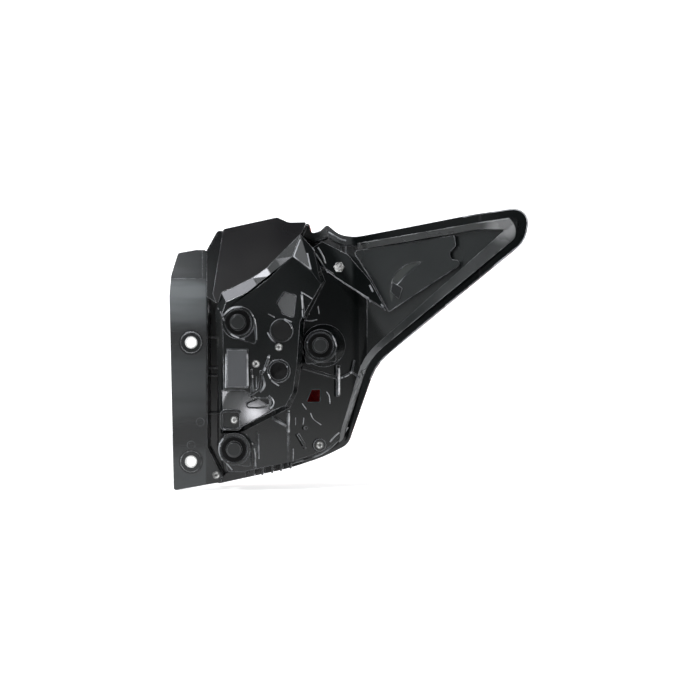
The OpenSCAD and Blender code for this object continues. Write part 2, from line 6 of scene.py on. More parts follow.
import bpy
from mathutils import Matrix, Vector


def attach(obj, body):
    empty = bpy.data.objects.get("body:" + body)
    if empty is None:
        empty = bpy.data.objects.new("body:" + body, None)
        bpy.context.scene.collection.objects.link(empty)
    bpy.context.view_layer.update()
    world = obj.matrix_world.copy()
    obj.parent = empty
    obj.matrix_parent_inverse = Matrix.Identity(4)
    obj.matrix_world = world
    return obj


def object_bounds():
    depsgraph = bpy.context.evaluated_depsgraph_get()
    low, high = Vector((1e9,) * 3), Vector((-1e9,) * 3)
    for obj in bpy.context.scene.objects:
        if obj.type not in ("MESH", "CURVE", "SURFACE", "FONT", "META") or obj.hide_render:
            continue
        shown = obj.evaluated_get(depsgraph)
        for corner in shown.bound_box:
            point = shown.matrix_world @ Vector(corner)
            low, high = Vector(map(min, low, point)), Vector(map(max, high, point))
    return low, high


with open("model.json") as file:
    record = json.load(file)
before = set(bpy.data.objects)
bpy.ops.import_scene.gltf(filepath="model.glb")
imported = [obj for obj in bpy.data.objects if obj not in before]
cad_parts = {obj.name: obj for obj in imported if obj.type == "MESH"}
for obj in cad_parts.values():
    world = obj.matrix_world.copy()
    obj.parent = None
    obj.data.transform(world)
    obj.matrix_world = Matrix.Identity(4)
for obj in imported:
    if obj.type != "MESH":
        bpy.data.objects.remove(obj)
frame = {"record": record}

CAD_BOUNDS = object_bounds()

# The photograph's view: pixels of a 700 x 700 frame, millimetres at the flange plane
PHOTO_PX = 700
MM_PER_PX = 1.15
# The place midway between the flange holes in the photograph
HOLE_PX = (191.0, 402.0)
CAMERA_DISTANCE = 2.4
SENSOR_MM = 36.0
FAR_CLIP = 50

# Moulded edges: their radius in metres, the rays that round them, how strong the painted highlight along them
# is, and the cosines of the turns at which that painted highlight starts and is full
EDGE_R = 0.0014
EDGE_SAMPLES = 4
EDGE_PAINTED_HIGHLIGHT = 0.75
EDGE_TURN = 0.98, 0.86
# Noise stays mostly between these values, so finishes change between them
CLOUD_SPAN = 0.3, 0.7
# Noise of the moulding's clouds and grain (scale, detail, roughness), and the grain's strength and depth
CLOUD = 14, 3, 0.5
GRAIN = 2600, 2, 0.5
GRAIN_BUMP = 0.25, 0.00002
# Noise that breaks up the painted highlights on edges and ribs, the span over which it does, and the share of
# the tone that stays
SPARKLE, SPARKLE_SPAN, SPARKLE_DARK = (42, 3, 0.6), (0.36, 0.62), 0.15
# Darkest and lightest tone of the glossy black
GLOSS_BLACK = (0.002, 0.003, 0.003), (0.005, 0.006, 0.006)

# The rest of this part is in metres: x and z on the back, and a radius or reach where there is a third value
# Height of a flange hole above or below the origin
HOLE_Z = 0.0684
# Middles and radii of the bulb holders' grips and of the ejector marks
HOLDER_GRIPS = [(0.0552, 0.0920, 0.0090), (0.1484, 0.0655, 0.0090), (0.0506, -0.0540, 0.0090)]
GRIP_EDGE = 0.0004
EJECTOR_MARKS = [(0.0104, -0.0230, 0.0046), (0.0, -0.0495, 0.0046)]
# Distances from an ejector mark's circle at which the mark begins and is full, and how much of it shows
RING_EDGE, MARK_SHARE = (0.0007, 0.0002), 0.5
SCREWS = [(0.102, 0.063), (0.076, 0.044), (0.051, -0.020), (0.148, -0.050), (0.029, -0.084)]
# Distances from a screw's middle over which its rim darkens with painted shade, its hollow darkens with
# painted shade and the rim's painted shade ends, and how strong the painted shade on rim and hollow is
SCREW_RIM, SCREW_HOLLOW, SCREW_END = (0.0030, 0.0040), (0.0021, 0.0016), (0.0060, 0.0055)
RIM_SHADE, HOLLOW_SHADE = 0.85, 0.75
# The bushes are bright and lie left of the other zinc pieces
BUSH_SIDE = 0.012, 0.016
# The bright band's facing, and how far its crowned face leans out
BAND_FACING = (-0.434, -0.682, 0.589)
BAND_CROWN = (0.0, -0.3, 0.0)
# How well a face has to look that way before it leans, and until it leans fully
BAND_SPREAD = 0.94, 0.97
# The domed, pale facet of the bulb box: its middle, reach, facing and curve, and how well a face has to match
GLARE_MIDDLE, GLARE_REACH = (0.0770, -0.0120), 0.042
GLARE_FACING, GLARE_CURVE = (-0.0698, -0.9903, 0.1196), 1.4
GLARE_SPREAD = 0.994, 0.998
# Share of the reach within which the dome and the hot spots are full
GLARE_FULL, HOT_FULL = 0.9, 0.6
# Places where the painted highlight on edges is brightest
HIGHLIGHT_SPOTS = [(0.196, 0.140, 0.050), (0.236, 0.124, 0.022), (0.058, 0.038, 0.026), (0.086, -0.004, 0.020),
             (0.0, 0.0684, 0.018), (0.0, -0.0684, 0.018), (0.048, 0.105, 0.024), (0.330, 0.185, 0.03)]
# The ledge's round end at the wing's tip, how softly it ends, and the x past which it does
TIP, TIP_SOFT, TIP_SIDE = (0.3488, 0.1933, 0.0208), 0.0015, (0.345, 0.355)
# Where painted light makes the ledge pale: low down, and round this place at the tip, there by this share
LEDGE_LIGHT_LOW_Z = 0.095, 0.02
TIP_PAINTED_LIGHT, TIP_PAINTED_LIGHT_REACH, TIP_PAINTED_LIGHT_SHARE = (0.3586, 0.2017), (0.026, 0.008), 0.9
# The sickle-shaped painted sheen on the wing's floor: inside the first circle and outside the second
SHEEN_IN, SHEEN_OUT, SHEEN_SOFT = (0.2629, 0.1287, 0.0339), (0.2925, 0.1060, 0.0617), 0.001
# The dark ring round each flange hole
BUSH_RING = 0.0146, 0.0138
# The flange, with its grey painted sheen, ends at this x, and is less grey above this z, by this share
FLANGE_SIDE, FLANGE_TOP, TOP_SHARE = (0.0185, 0.0160), (0.1424, 0.1416), 0.45
# The flange's foot and top
FLANGE_Z = -0.105, 0.145
# Grey painted sheen along the flange, from its foot to its top, and the tint of that grey
FLANGE_SHEEN_TONES = [(0.0, 0.050), (0.10, 0.042), (0.28, 0.006), (0.50, 0.044), (0.72, 0.008), (0.84, 0.075),
                (0.93, 0.140), (1.0, 0.050)]
FLANGE_SHEEN_TINT = 0.92, 1.0, 1.02
# Painted streaks of reflection run across the flange: the stretch of their noise, the span of it that they
# use and their swing
STREAKS, STREAK_SPAN, STREAK_SWING = (0.2, 1.0, 1.0), (0.2, 0.8), 0.05
# How much duller the flange and the wing's floor are, and how matt the floor's tone is
FLANGE_DULLER, DECK_DULLER, DECK_MATT = 0.05, 0.20, 0.6
# The wing starts along a slanted line, x + WING_SLANT z
WING_SLANT, WING_START = 0.6, (0.262, 0.276)
# The glue channel's back: its distance from the outer lens, and the x where it starts
CHANNEL_DEPTH, CHANNEL_SIDE = (0.0225, 0.0232), (0.182, 0.19)
# The brownish panel: its y, how near to that y its faces are, and its lower end
PANEL_Y, PANEL_NEAR, PANEL_FOOT = -0.015, (0.0010, 0.0005), (0.100, 0.108)

# Studio
BACKDROP_Y = 1.6
SHEET_SIDE, FLOOR_FRONT, BACKDROP_TOP = 8, -7, 6
WORLD_LIGHT = 0.12
WORLD_TINT = (0.92, 0.96, 1.0, 1)
# How white the sheets are seen, and the paper's own colour
FLOOR_WHITE, BACKDROP_WHITE = 0.75, 1.0
PAPER = (0.8, 0.8, 0.8, 1)
# Where the lamps aim: the lamp's middle and the bright band
MIDDLE = (0.17, 0.0, 0.06)
BAND = (0.085, -0.02, 0.145)
# Name, place, aim, size, power and colour of each lamp
LAMPS = [
    ("key", (-0.7, -1.5, 1.5), MIDDLE, (0.45, 0.3), 22, (0.96, 0.98, 1.0)),
    ("top_strip", (0.3, -0.5, 1.9), MIDDLE, (1.4, 0.12), 8, (0.97, 0.98, 1.0)),
    ("right_strip", (1.9, -0.35, 0.5), MIDDLE, (0.10, 1.2), 6, (1.0, 1.0, 1.0)),
    ("left_strip", (-1.5, -0.4, 0.4), MIDDLE, (0.10, 1.2), 6, (0.97, 0.98, 1.0)),
    ("band_window", (-0.50, -0.32, 1.16), BAND, (0.40, 0.27), 3.0, (0.92, 0.93, 1.0)),
    ("band_glint", (-0.60, -0.23, 1.11), BAND, (0.16, 0.12), 1.0, (0.94, 0.95, 1.0)),
    ("band_card", (-0.73, -0.28, 0.97), BAND, (0.40, 0.30), 0.60, (0.95, 0.98, 1.0)),
    ("quad_card", (0.68, -0.72, 0.97), (0.13, -0.02, 0.16), (0.3, 0.3), 0.9, (0.95, 0.98, 1.0)),
    ("box_card", (-0.44, -1.81, 0.44), (0.11, -0.03, 0.11), (0.25, 0.25), 0.5, (0.95, 0.98, 1.0)),
    ("glare_card", (-0.275, -1.85, 0.385), (0.075, -0.03, -0.01), (0.12, 0.09), 1.9, (0.95, 0.95, 1.0)),
    ("flange_high", (-0.30, -2.1, 0.20), (0.0, 0.0, 0.10), (0.3, 0.07), 0.36, (0.95, 0.97, 1.0)),
    ("flange_middle", (-0.30, -2.1, 0.0), (0.0, 0.0, 0.0), (0.3, 0.08), 0.10, (0.95, 0.98, 1.0)),
    ("flange_low", (-0.30, -2.1, -0.23), (0.0, 0.0, -0.1), (0.3, 0.08), 0.12, (0.95, 0.98, 1.0)),
    ("wing_card", (-1.1, -1.45, 0.58), (0.27, 0.0, 0.15), (0.8, 0.7), 1.3, (0.95, 0.98, 1.0)),
]


def node(name):
    """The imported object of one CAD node."""
    return bpy.data.objects[name]


# Shapes, in millimetres as in the CAD: x and z on the back, y towards the lens

# The outer lens is part of a cylinder: its radius, and the x and y of the line that stands out most
LENS_R, LENS_X, LENS_Y = 600.0, 60.0, 77.0
# Distances from the outer lens to the backs of the wing's floor and of the glue channel
FLOOR_D, BAND_D = 15.0, 24.0
# The lower floor slopes towards the lens from this x and y at this angle, and ends at the wing's start
SLOPE_X, SLOPE_Y, SLOPE_A, SLOPE_END = 114.0, -8.0, math.radians(30.5), 205.0
# The lamp's outline from its lower right corner round the wing: x, z and corner radius
WING_KEYS = [(181, -51, 18), (214, 43.4, 70), (381, 182, 30), (388, 223, 17), (320, 215, 300), (188, 192, 40),
             (170, 195.5, 20)]
# Degrees between the points of a rounded corner, and the limit that keeps sharp mitres short
CORNER_STEP = 9
MITRE_LEAST = 0.3

# The ledge: where its run comes from, how far it slopes down from the channel's back, and its foot's width
LEDGE_START = (152, -66, 1)
LEDGE_H = 3.0
LEDGE_FOOT = 1.0
# Its width, the share of that at its start and the run over which it grows
LEDGE_W, LEDGE_FIRST, LEDGE_GROWS = 7.7, 0.15, 25
# It is wider from this x on, at the wing's tip
TIP_WIDER, TIP_X, TIP_RUN = 7.0, 345, 25
# How far inside the outline it starts, and how much nearer to it left of this x
LEDGE_IN, LEDGE_NEARER, NEARER_X, NEARER_RUN = 10.3, 2.3, 215, 20
# How far it stands proud of the surfaces, and how deep its foot's inner and outer edge are sunk in them
LEDGE_PROUD, INNER_SINK, OUTER_SINK = 0.2, 0.3, 1.2


def rounded(keys):
    """Points along an open path through the keys (x, z, corner radius), with its corners rounded."""
    points = [Vector(keys[0][:2])]
    for before, (x, z, r), after in zip(keys, keys[1:], keys[2:]):
        here = Vector((x, z))
        a, b = ((Vector(other[:2]) - here).normalized() for other in (before, after))
        half = math.acos(max(-1, min(1, a.dot(b)))) / 2
        middle = here + (a + b).normalized() * (r / math.sin(half))
        start, end = (here + way * (r / math.tan(half)) - middle for way in (a, b))
        turn = start.angle_signed(end)
        count = max(2, math.ceil(abs(math.degrees(turn)) / CORNER_STEP))
        first = math.atan2(start.y, start.x)
        for k in range(count + 1):
            angle = first - turn * k / count
            points.append(middle + Vector((math.cos(angle), math.sin(angle))) * r)
    return points + [Vector(keys[-1][:2])]


def inwards(points, i, distance):
    """Point i of an open path, moved to its left by the distance."""
    a = (points[i] - points[i - 1]).normalized() if i else None
    b = (points[i + 1] - points[i]).normalized() if i < len(points) - 1 else None
    a, b = a or b, b or a
    side = Vector((-a.y - b.y, a.x + b.x))
    return points[i] + side * (distance / max(MITRE_LEAST, 1 + a.dot(b)))


def skin_y(x, depth):
    """Height y of the surface at this distance from the outer lens."""
    return LENS_Y - LENS_R + math.sqrt((LENS_R - depth) ** 2 - (x - LENS_X) ** 2)


def slope_y(x):
    """Height y of the lower floor, which ends where the wing starts."""
    return SLOPE_Y + max(0.0, x - SLOPE_X) * math.tan(SLOPE_A) if x < SLOPE_END else math.inf


def share(value, start, run):
    """How much of a run lies between its start and the value, from 0 to 1. A negative run goes down."""
    return max(0.0, min(1.0, (value - start) / run))


def piece(name, verts, faces, finish):
    """One added piece of the housing's moulding, from millimetre points, with its finish."""
    mesh = bpy.data.meshes.new(name)
    mesh.from_pydata([Vector(v) / 1000 for v in verts], [], faces)
    mesh.validate()
    obj = bpy.data.objects.new(name, mesh)
    bpy.context.scene.collection.objects.link(obj)
    mesh.materials.append(MATERIALS[finish])
    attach(obj, "root")


def closed_run(first, count, width):
    """Faces of a closed solid through cross-sections of this many points, which start at vertex first."""
    last = first + (count - 1) * width
    faces = []
    for start in range(first, last, width):
        for k in range(width):
            a, b = start + k, start + (k + 1) % width
            faces.append((a, a + width, b + width, b))
    return faces + [tuple(range(first, first + width)), tuple(reversed(range(last, last + width)))]


def add_dish_wall():
    """Sloping ledge inside the glue channel, along the lower right side and round the wing."""
    path = rounded([LEDGE_START] + WING_KEYS)[1:-3]
    verts = []
    gone = 0.0
    for i, here in enumerate(path):
        gone += (here - path[max(i - 1, 0)]).length
        grown = min(1.0, LEDGE_FIRST + gone / LEDGE_GROWS)
        wide = LEDGE_W * grown + TIP_WIDER * share(here.x, TIP_X, TIP_RUN)
        start = LEDGE_IN - LEDGE_NEARER * share(here.x, NEARER_X, -NEARER_RUN)
        rim, foot, under = (inwards(path, i, start + across) for across in (0.0, wide, wide - LEDGE_FOOT))
        low = min(skin_y(rim.x, BAND_D), slope_y(rim.x))
        high = min(skin_y(foot.x, FLOOR_D), slope_y(foot.x))
        ledge = min(skin_y(foot.x, BAND_D) + LEDGE_H, high - LEDGE_PROUD)
        verts += [(rim.x, low - LEDGE_PROUD, rim.y), (foot.x, ledge, foot.y),
                  (foot.x, high + INNER_SINK, foot.y), (under.x, max(low, high) + OUTER_SINK, under.y)]
    piece("dish_wall", verts, closed_run(0, len(path), 4), "ledge")


# Fine ribs. Their height as a share of their width, the step along their runs, how deep their feet are sunk,
# and the step of the housing's surface at which a rib ends
RIB_SLOPE = 0.38
RIB_STEP = 2.0
RIB_SINK = 0.1
RIB_JUMP = 2.0
# How near to a corner a run is cut, as a share of the side, and how many times
RIB_CUT, RIB_CUTS = 0.25, 2
# The rays that find the housing's back start at this y
RAY_START = -100
# Width of the bead along the rim, and how far inside the outline it runs
RIM_W, RIM_IN = 1.3, 1.3
# Fine ribs and lips of the moulding: width and run of each, in x and z
RIBS = [
    ("box_ribs", [
        (2.8, [(42.5, 55.3), (41.9, 16.6)]),
        (2.8, [(65.8, 55.3), (66.9, 16.6)]),
        (2.2, [(88.7, 51.6), (91.9, 51.3), (86.0, 37.4), (84.1, 33.7)]),
        (2.8, [(82.6, 32.5), (85.9, 22.3), (85.0, 16.6), (80.3, 12.1)]),
        (1.6, [(71.8, 31.4), (72.7, 13.2)]),
        (1.4, [(76.6, 30.2), (76.6, 14.3)]),
        (1.8, [(90.7, 8.0), (96.0, 3.0), (96.5, -2.7), (91.9, -6.8)]),
        (2.2, [(31.7, 108.1), (36.2, 103.0), (38.5, 97.3), (41.9, 90.5)]),
        (1.5, [(89.7, 100.7), (97.3, 96.9)]),
        (1.4, [(108.5, 95.0), (116.9, 91.6)]),
        (1.8, [(128.3, 124.6), (128.9, 109.8), (129.2, 97.3)]),
        (1.4, [(127.2, 125.7), (134.0, 121.7), (140.2, 117.8)]),
    ]),
    ("holder_arcs", [
        (1.8, [(41.7, 89.4), (43.5, 82.5), (48.3, 77.4), (53.3, 74.6), (63.4, 71.7)]),
        (1.6, [(69.2, 104.1), (73.7, 97.3), (76.0, 88.2), (76.6, 78.0), (76.6, 71.2)]),
        (1.8, [(39.1, 98.4), (48.3, 107.5), (61.5, 108.7)]),
        (1.8, [(89.1, 79.9), (93.1, 72.3), (98.2, 68.2)]),
        (1.8, [(107.8, 94.5), (113.5, 89.9), (116.4, 84.1)]),
        (1.6, [(90.2, 32.5), (93.6, 24.6), (102.2, 19.1)]),
        (1.8, [(106.7, 44.1), (111.8, 40.5)]),
        (1.6, [(133.6, 69.5), (134.8, 59.8), (141.6, 51.8)]),
        (1.8, [(128.3, 60.9), (131.2, 48.7)]),
        (1.6, [(162.6, 76.4), (166.8, 67.8), (168.0, 56.4), (169.7, 48.3)]),
        (1.6, [(34.5, -45.9), (36.8, -57.3), (44.2, -67.5)]),
        (1.6, [(63.6, -36.5), (71.7, -47.9), (74.0, -56.0), (74.5, -73.2)]),
        (1.2, [(78.0, -36.5), (78.5, -65.1)]),
        (1.6, [(38.8, -41.0), (34.2, -48.2), (33.7, -56.4), (36.7, -64.5), (43.9, -72.7), (48.0, -77.8)]),
    ]),
    ("floor_ribs", [
        (3.4, [(169.5, 38.9), (169.5, 7.2)]),
        (1.8, [(171.8, 27.3), (179.4, 29.6), (185.2, 34.3)]),
        (3.0, [(93.6, -17.9), (110.0, -27.4)]),
        (2.6, [(112.6, -9.4), (112.6, -34.3)]),
        (1.4, [(155.6, 11.2), (159.0, 6.5), (159.5, -2.7)]),
        (1.4, [(127.7, -1.8), (132.5, -8.6)]),
        (1.2, [(120.2, -17.9), (120.2, -26.5)]),
        (1.2, [(129.6, -18.1), (128.7, -25.8)]),
        (1.4, [(137.2, -12.9), (139.9, -20.3), (149.5, -27.0)]),
        (1.4, [(135.7, 110.6), (135.7, 100.2)]),
        (1.4, [(145.7, 110.6), (147.0, 101.4)]),
        (1.6, [(131.0, 94.0), (137.9, 93.2), (144.8, 95.0)]),
        (2.0, [(119.0, -71.2), (126.2, -69.1), (133.4, -67.8)]),
        (2.0, [(138.0, -65.9), (144.1, -63.3)]),
        (2.4, [(159.4, -46.6), (164.0, -41.0), (170.2, -35.9)]),
        (1.8, [(117.5, -53.3), (117.5, -62.5), (117.0, -68.6)]),
        (2.0, [(127.7, -51.2), (132.8, -52.9)]),
    ]),
    ("stud_ribs", [
        (1.8, [(139.3, 177.0), (148.8, 163.1), (157.1, 149.2)]),
        (2.2, [(145.6, 178.8), (150.6, 171.2), (154.6, 160.3)]),
        (2.0, [(172.3, 181.9), (172.3, 173.7)]),
        (2.0, [(178.2, 182.5), (178.2, 173.7)]),
        (1.2, [(172.3, 181.9), (178.2, 182.5)]),
        (2.2, [(205.5, 135.2), (209.5, 127.1)]),
        (2.0, [(203.2, 121.3), (207.2, 116.1)]),
        (1.8, [(218.8, 113.2), (224.6, 106.2)]),
        (1.6, [(118.8, 165.9), (128.6, 158.6), (138.2, 151.5)]),
        (2.0, [(134.0, 170.0), (136.2, 160.0), (138.2, 151.5)]),
        (1.6, [(126.0, 186.0), (121.5, 174.0), (118.8, 165.9)]),
        (1.5, [(157.0, 150.6), (166.0, 144.4), (185.0, 132.2), (204.5, 119.8)]),
        (2.0, [(157.5, 198.0), (164.7, 193.3), (172.7, 189.0), (178.3, 187.6)]),
    ]),
    ("lip_line", [
        (2.4, [(112.5, -73.8), (130.1, -69.1), (147.7, -63.3), (161.8, -53.9), (174.6, -39.8),
               (180.5, -30.4)]),
    ]),
]


def smooth_run(points):
    """The run with its corners cut, as points a short step apart."""
    points = [Vector(p) for p in points]
    for _ in range(RIB_CUTS):
        cut = [points[0]]
        for a, b in zip(points, points[1:]):
            cut += [a.lerp(b, RIB_CUT), a.lerp(b, 1 - RIB_CUT)]
        points = cut + [points[-1]]
    run = [points[0]]
    for a, b in zip(points, points[1:]):
        count = max(1, round((b - a).length / RIB_STEP))
        run += [a.lerp(b, k / count) for k in range(1, count + 1)]
    return run


def back_y(x, z):
    """Height y of the housing's back at a place, or None beside the housing."""
    hit, place, _, _ = node("housing").ray_cast(Vector((x, RAY_START, z)) / 1000, Vector((0, 1, 0)))
    return place.y * 1000 if hit else None


def stretches(path):
    """Index and height of the path's points on the housing, in parts that end where its surface steps."""
    parts, last = [], None
    for i, here in enumerate(path):
        y = back_y(here.x, here.y)
        if last is None or y is None or abs(y - last) > RIB_JUMP:
            parts.append([])
        if y is not None:
            parts[-1].append((i, y))
        last = y
    return [part for part in parts if len(part) > 1]


def add_ribs(name, runs):
    """Roof-shaped ribs on the housing, as one piece."""
    verts, faces = [], []
    for width, points in runs:
        path = smooth_run(points)
        for part in stretches(path):
            faces += closed_run(len(verts), len(part), 3)
            for i, y in part:
                here, left, right = path[i], inwards(path, i, width / 2), inwards(path, i, -width / 2)
                verts += [(right.x, y + RIB_SINK, right.y), (here.x, y - RIB_SLOPE * width, here.y),
                          (left.x, y + RIB_SINK, left.y)]
    piece(name, verts, faces, "rib")


def rim_run():
    """Width and run of the thin bead just inside the outer edge, round the wing."""
    path = rounded(WING_KEYS[:-1])
    return RIM_W, [tuple(inwards(path, i, RIM_IN)) for i in range(1, len(path) - 1)]


# Camera

def add_camera():
    """The photograph's camera, square on the flange, with the frame's origin where the photograph has it."""
    middle = PHOTO_PX / 2
    x = (middle - HOLE_PX[0]) * MM_PER_PX / 1000
    z = (HOLE_PX[1] - middle) * MM_PER_PX / 1000
    camera = bpy.data.cameras.new("photo_camera")
    camera.sensor_width = SENSOR_MM
    camera.lens = SENSOR_MM * CAMERA_DISTANCE / (PHOTO_PX * MM_PER_PX / 1000)
    camera.clip_end = FAR_CLIP
    holder = bpy.data.objects.new("photo_camera", camera)
    holder.location = (x, -CAMERA_DISTANCE, z)
    holder.rotation_euler = (math.radians(90), 0, 0)
    bpy.context.scene.collection.objects.link(holder)
    bpy.context.scene.camera = holder


# Node graph helpers

# The Mix node's sockets for two colours and their blend
MIX_FIRST, MIX_SECOND, MIX_RESULT = 6, 7, 2


class Graph:
    """Short calls to build one material's nodes."""

    def __init__(self, name):
        self.material = bpy.data.materials.new(name)
        self.material.use_nodes = True
        self.tree = self.material.node_tree
        self.shader = self.tree.nodes["Principled BSDF"]

    def add(self, kind, **settings):
        """A new node of the kind, with its settings."""
        made = self.tree.nodes.new("ShaderNode" + kind)
        for key, value in settings.items():
            setattr(made, key, value)
        return made

    def link(self, source, target):
        """Join an output to an input."""
        self.tree.links.new(source, target)

    def feed(self, value, socket):
        """Join an output to the input, or set a constant on it."""
        if isinstance(value, bpy.types.NodeSocket):
            self.link(value, socket)
        else:
            socket.default_value = value

    def set(self, **values):
        """Feed the shader's inputs, and return the material."""
        for key, value in values.items():
            self.feed(value, self.shader.inputs[key.replace("_", " ")])
        return self.material

    def math(self, operation, first, second=0.0):
        """Result of an operation on two values."""
        made = self.add("Math", operation=operation)
        self.feed(first, made.inputs[0])
        self.feed(second, made.inputs[1])
        return made.outputs[0]

    def times(self, first, second):
        """Product of two values."""
        return self.math("MULTIPLY", first, second)

    def fold(self, operation, values):
        """One value from several, such as the largest or the smallest."""
        total, *others = values
        for value in others:
            total = self.math(operation, total, value)
        return total

    def vector(self, operation, first, second):
        """The vector node that joins two vectors."""
        made = self.add("VectorMath", operation=operation)
        self.feed(first, made.inputs[0])
        self.feed(second, made.inputs[1])
        return made

    def range(self, value, low, high, to_low, to_high, kind="SMOOTHSTEP"):
        """The value carried from one span to another, softly unless another kind is asked for."""
        made = self.add("MapRange", interpolation_type=kind)
        self.link(value, made.inputs["Value"])
        made.inputs["From Min"].default_value = low
        made.inputs["From Max"].default_value = high
        made.inputs["To Min"].default_value = to_low
        made.inputs["To Max"].default_value = to_high
        return made.outputs["Result"]

    def ramp(self, value, stops):
        """Colour of the value between stops of place and colour."""
        made = self.add("ValToRGB")
        ramp = made.color_ramp
        ramp.interpolation = "EASE"
        while len(ramp.elements) < len(stops):
            ramp.elements.new(0.5)
        for element, (place, colour) in zip(ramp.elements, stops):
            element.position = place
            element.color = (*colour, 1)
        self.link(value, made.inputs["Fac"])
        return made.outputs["Color"]

    def tones(self, cloud, dark, light):
        """Cloudy colour between two tones."""
        low, high = CLOUD_SPAN
        return self.ramp(cloud, [(low, dark), (high, light)])

    def gloss(self, cloud, smooth, rough):
        """Cloudy roughness between two values."""
        return self.range(cloud, *CLOUD_SPAN, smooth, rough)

    def blend(self, amount, first, second):
        """Colour between the first and the second, by an amount from 0 to 1."""
        made = self.add("Mix", data_type="RGBA")
        self.link(amount, made.inputs["Factor"])
        self.link(first, made.inputs[MIX_FIRST])
        self.link(second, made.inputs[MIX_SECOND])
        return made.outputs[MIX_RESULT]

    def place(self, scale=None):
        """Object coordinates in metres, stretched where a scale is given."""
        source = self.add("TexCoord").outputs["Object"]
        return self.vector("MULTIPLY", source, scale).outputs[0] if scale else source

    def axes(self):
        """Object coordinates in metres, as x, y and z."""
        made = self.add("SeparateXYZ")
        self.link(self.place(), made.inputs[0])
        return made.outputs

    def far(self, x, z, middle_x, middle_z):
        """Distance in the xz plane from a middle."""
        across = self.math("POWER", self.math("SUBTRACT", x, middle_x), 2.0)
        along = self.math("POWER", self.math("SUBTRACT", z, middle_z), 2.0)
        return self.math("SQRT", self.math("ADD", across, along))

    def ring(self, x, z, middle_x, middle_z, radius):
        """1 on a thin circle in the xz plane."""
        off = self.math("ABSOLUTE", self.math("SUBTRACT", self.far(x, z, middle_x, middle_z), radius))
        return self.range(off, *RING_EDGE, 0, 1)

    def noise(self, scale, detail=4.0, rough=0.55, source=None):
        """Soft noise, on object coordinates unless another source is given."""
        made = self.add("TexNoise")
        made.inputs["Scale"].default_value = scale
        made.inputs["Detail"].default_value = detail
        made.inputs["Roughness"].default_value = rough
        self.link(source or self.place(), made.inputs["Vector"])
        return made.outputs["Fac"]

    def cells(self, scale):
        """Distance from the middle of the nearest of many small cells."""
        made = self.add("TexVoronoi")
        made.inputs["Scale"].default_value = scale
        self.link(self.place(), made.inputs["Vector"])
        return made.outputs["Distance"]

    def sparkle(self, tone):
        """Patchy tone, used as the painted highlight of edges and ribs: it comes and goes between a small
        share of the tone and all of it.
        """
        low, high = SPARKLE_SPAN
        dark = tuple(SPARKLE_DARK * part for part in tone)
        return self.ramp(self.noise(*SPARKLE), [(low, dark), (high, tone)])

    def facing(self, direction):
        """1 on faces that look along the direction, and less the more they turn from it."""
        face = self.add("NewGeometry").outputs["True Normal"]
        return self.vector("DOT_PRODUCT", face, direction).outputs["Value"]

    def soft_edges(self):
        """Normal that rounds the moulded edges."""
        made = self.add("Bevel")
        made.samples = EDGE_SAMPLES
        made.inputs["Radius"].default_value = EDGE_R
        return made.outputs["Normal"]

    def edge(self, rounded_normal):
        """Share of painted highlight along edges that the rounded normal softens, 0 on flat faces."""
        return self.range(self.facing(rounded_normal), *EDGE_TURN, 0, EDGE_PAINTED_HIGHLIGHT)

    def lean(self, normal, direction, push):
        """Normal leaned by the push on faces that look along the direction."""
        return self.pushed(normal, push, self.range(self.facing(direction), *BAND_SPREAD, 0, 1))

    def crown(self, normal, middle, reach, direction, curve):
        """Normal of a slightly domed face that looks along the direction, round a middle in x and z."""
        x, _, z = self.axes()
        near = self.range(self.far(x, z, *middle), reach, GLARE_FULL * reach, 0, curve)
        amount = self.times(near, self.range(self.facing(direction), *GLARE_SPREAD, 0, 1))
        offset = self.add("CombineXYZ")
        self.link(self.math("SUBTRACT", x, middle[0]), offset.inputs["X"])
        self.link(self.math("SUBTRACT", z, middle[1]), offset.inputs["Z"])
        return self.pushed(normal, offset.outputs[0], amount)

    def pushed(self, normal, push, amount):
        """The normal, moved by an amount of the push."""
        scaled = self.add("VectorMath", operation="SCALE")
        self.feed(push, scaled.inputs[0])
        self.link(amount, scaled.inputs["Scale"])
        total = self.vector("ADD", normal, scaled.outputs[0])
        made = self.add("VectorMath", operation="NORMALIZE")
        self.link(total.outputs[0], made.inputs[0])
        return made.outputs[0]

    def bump(self, height, strength, distance, normal=None):
        """Normal roughened by a height, over another normal where one is given."""
        made = self.add("Bump")
        made.inputs["Strength"].default_value = strength
        made.inputs["Distance"].default_value = distance
        self.link(height, made.inputs["Height"])
        if normal is not None:
            self.link(normal, made.inputs["Normal"])
        return made.outputs["Normal"]

    def grained(self, normal):
        """Normal with the fine grain of moulded plastic."""
        return self.bump(self.noise(*GRAIN), *GRAIN_BUMP, normal)


# Finishes

def moulded(name, dark, light, rough, shine=0.5, edge_highlight_tone=None):
    """Moulded plastic or rubber: cloudy gloss, fine grain and, where asked, a pale painted highlight along
    the edges.
    """
    g = Graph(name)
    cloud = g.noise(*CLOUD)
    rounded_normal = g.soft_edges()
    colour = g.tones(cloud, dark, light)
    if edge_highlight_tone:
        colour = g.blend(g.edge(rounded_normal), colour, g.sparkle(edge_highlight_tone))
    return g.set(Base_Color=colour, Roughness=g.gloss(cloud, *rough), Specular_IOR_Level=shine,
                 Normal=g.grained(rounded_normal))


def black_steel():
    """Black-painted steel of the wing's clip, with a pale painted highlight along its edges."""
    return moulded("black_steel", (0.008, 0.009, 0.010), (0.016, 0.017, 0.018), (0.2, 0.35), 0.2,
                   (0.80, 0.81, 0.82))


def cover_grey():
    """Grey plastic of the driver's cover, with a pale painted highlight along its edges."""
    return moulded("cover_grey", (0.035, 0.037, 0.040), (0.055, 0.057, 0.061), (0.3, 0.42),
                   edge_highlight_tone=(0.6, 0.61, 0.63))


